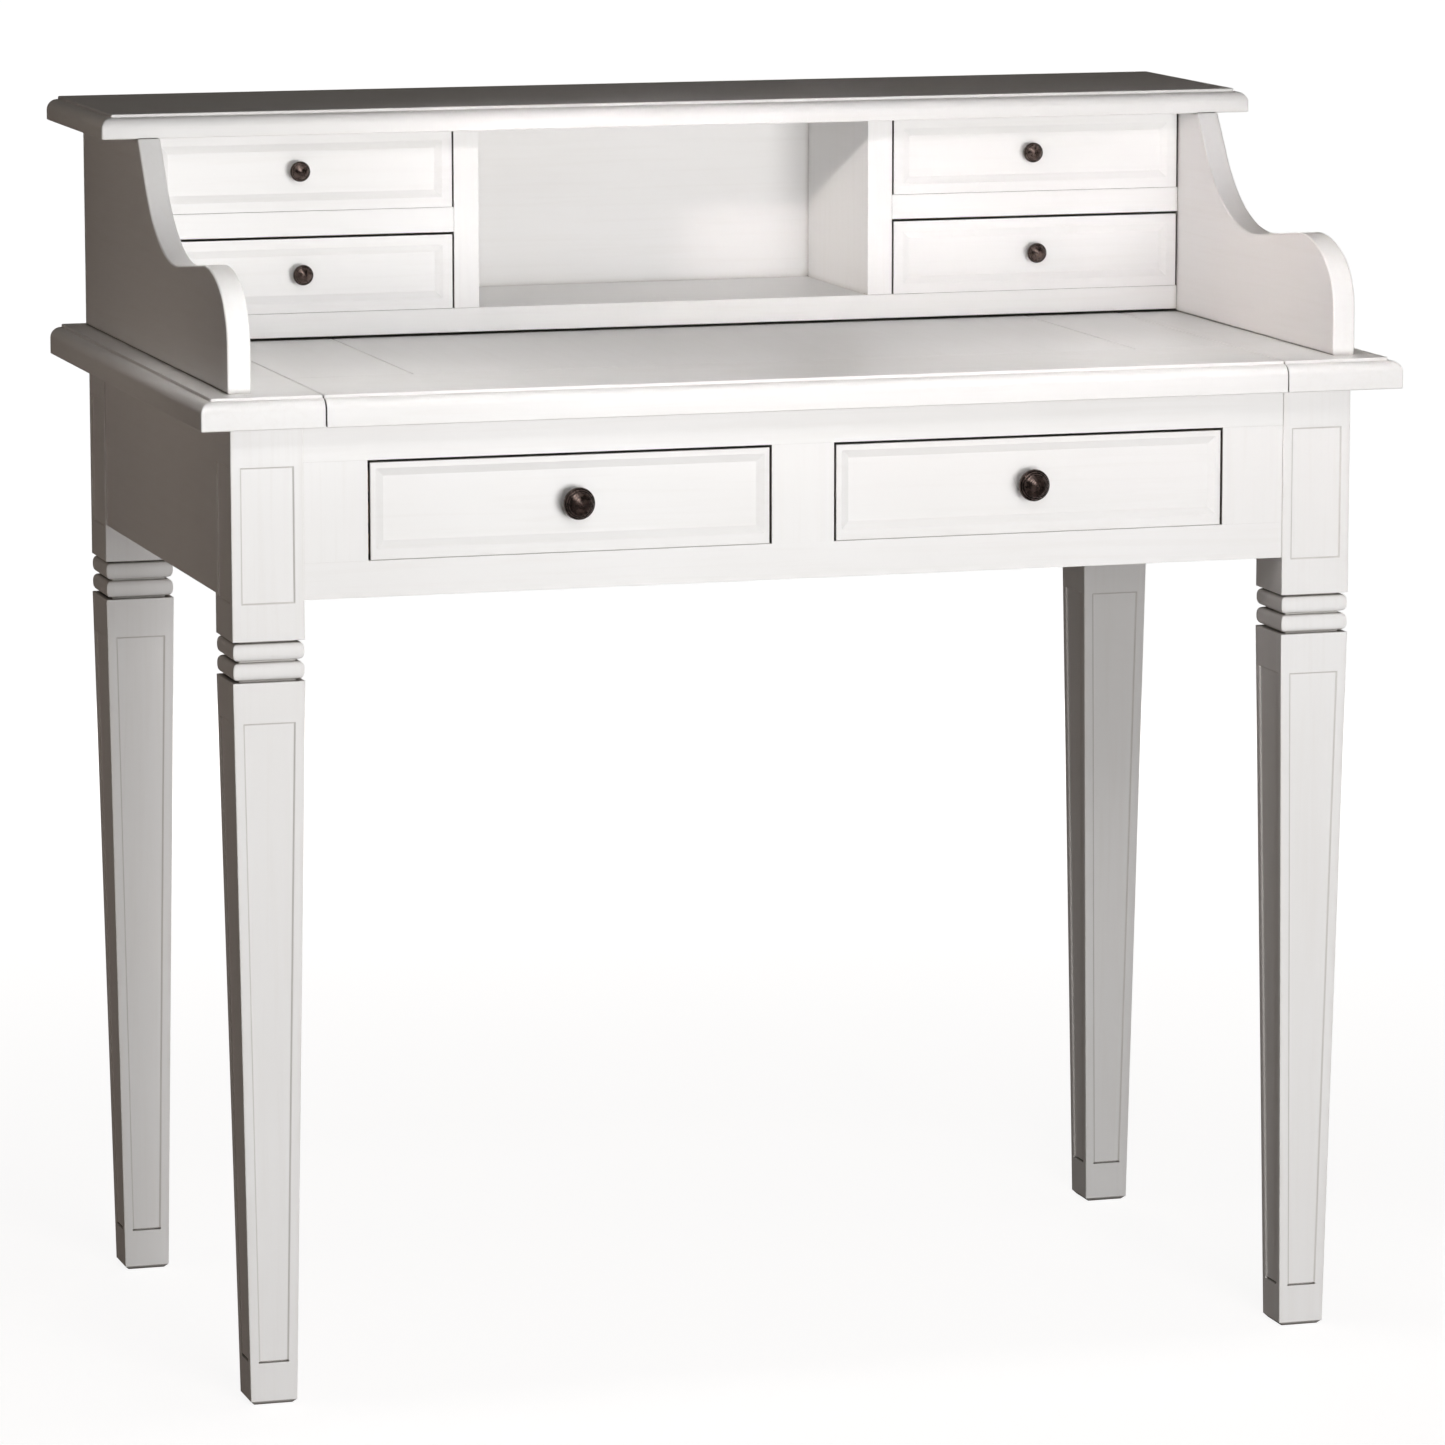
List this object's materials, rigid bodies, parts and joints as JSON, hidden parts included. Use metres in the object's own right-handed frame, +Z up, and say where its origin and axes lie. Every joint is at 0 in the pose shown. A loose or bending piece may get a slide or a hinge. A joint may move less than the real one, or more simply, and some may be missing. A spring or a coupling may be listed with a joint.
{
  "type": "writing desk",
  "caption": "Painted ladies' writing desk: a drawer table on tapered legs with sunk panels, and on its top a low gallery of small drawers round an open niche between swept sides.",
  "frame": {"origin": "on the floor under the middle of the top's outline, which is the middle of the bounding box's base", "axes": "+X to the sitter's right, +Y away from the sitter towards the gallery's back, +Z up"},
  "size_m": [0.96, 0.557, 0.9678],
  "materials": {
    "painted_wood": "off-white satin paint, lightly worn",
    "bare_wood": "unpainted planed wood",
    "knob_bronze": "dark antique bronze"
  },
  "bodies": {
    "desk": {"back_apron": "painted_wood", "back_left_leg": "painted_wood", "back_right_leg": "painted_wood", "centre_kicker": "bare_wood", "centre_runner": "bare_wood", "cornice_board": "painted_wood", "front_bottom_rail": "painted_wood", "front_centre_stile": "painted_wood", "front_left_leg": "painted_wood", "front_left_stile": "painted_wood", "front_right_leg": "painted_wood", "front_right_stile": "painted_wood", "front_top_rail": "painted_wood", "gallery_back": "painted_wood", "gallery_floor": "painted_wood", "left_apron": "painted_wood", "left_divider": "painted_wood", "left_runner": "bare_wood", "left_shelf": "painted_wood", "left_side_panel": "painted_wood", "right_apron": "painted_wood", "right_divider": "painted_wood", "right_runner": "bare_wood", "right_shelf": "painted_wood", "right_side_panel": "painted_wood", "side_kickers": "bare_wood", "top_centre_board": "painted_wood", "top_front_board": "painted_wood", "top_left_board": "painted_wood", "top_left_end": "painted_wood", "top_right_board": "painted_wood", "top_right_end": "painted_wood"},
    "left_drawer": {"left_drawer_back": "bare_wood", "left_drawer_bottom": "bare_wood", "left_drawer_front": "painted_wood", "left_drawer_knob": "knob_bronze", "left_drawer_left_side": "bare_wood", "left_drawer_right_side": "bare_wood"},
    "right_drawer": {"right_drawer_back": "bare_wood", "right_drawer_bottom": "bare_wood", "right_drawer_front": "painted_wood", "right_drawer_knob": "knob_bronze", "right_drawer_left_side": "bare_wood", "right_drawer_right_side": "bare_wood"},
    "upper_left_drawer": {"upper_left_drawer_bottom": "bare_wood", "upper_left_drawer_box": "bare_wood", "upper_left_drawer_front": "painted_wood", "upper_left_drawer_knob": "knob_bronze"},
    "upper_right_drawer": {"upper_right_drawer_bottom": "bare_wood", "upper_right_drawer_box": "bare_wood", "upper_right_drawer_front": "painted_wood", "upper_right_drawer_knob": "knob_bronze"},
    "lower_left_drawer": {"lower_left_drawer_bottom": "bare_wood", "lower_left_drawer_box": "bare_wood", "lower_left_drawer_front": "painted_wood", "lower_left_drawer_knob": "knob_bronze"},
    "lower_right_drawer": {"lower_right_drawer_bottom": "bare_wood", "lower_right_drawer_box": "bare_wood", "lower_right_drawer_front": "painted_wood", "lower_right_drawer_knob": "knob_bronze"}
  },
  "joints": [
    {"name": "left_drawer_slide", "type": "slide", "parent": "desk", "child": "left_drawer", "axis": [0, -1, 0], "range_m": [0, 0.3]},
    {"name": "right_drawer_slide", "type": "slide", "parent": "desk", "child": "right_drawer", "axis": [0, -1, 0], "range_m": [0, 0.3]},
    {"name": "upper_left_drawer_slide", "type": "slide", "parent": "desk", "child": "upper_left_drawer", "axis": [0, -1, 0], "range_m": [0, 0.11]},
    {"name": "upper_right_drawer_slide", "type": "slide", "parent": "desk", "child": "upper_right_drawer", "axis": [0, -1, 0], "range_m": [0, 0.11]},
    {"name": "lower_left_drawer_slide", "type": "slide", "parent": "desk", "child": "lower_left_drawer", "axis": [0, -1, 0], "range_m": [0, 0.11]},
    {"name": "lower_right_drawer_slide", "type": "slide", "parent": "desk", "child": "lower_right_drawer", "axis": [0, -1, 0], "range_m": [0, 0.11]}
  ]
}
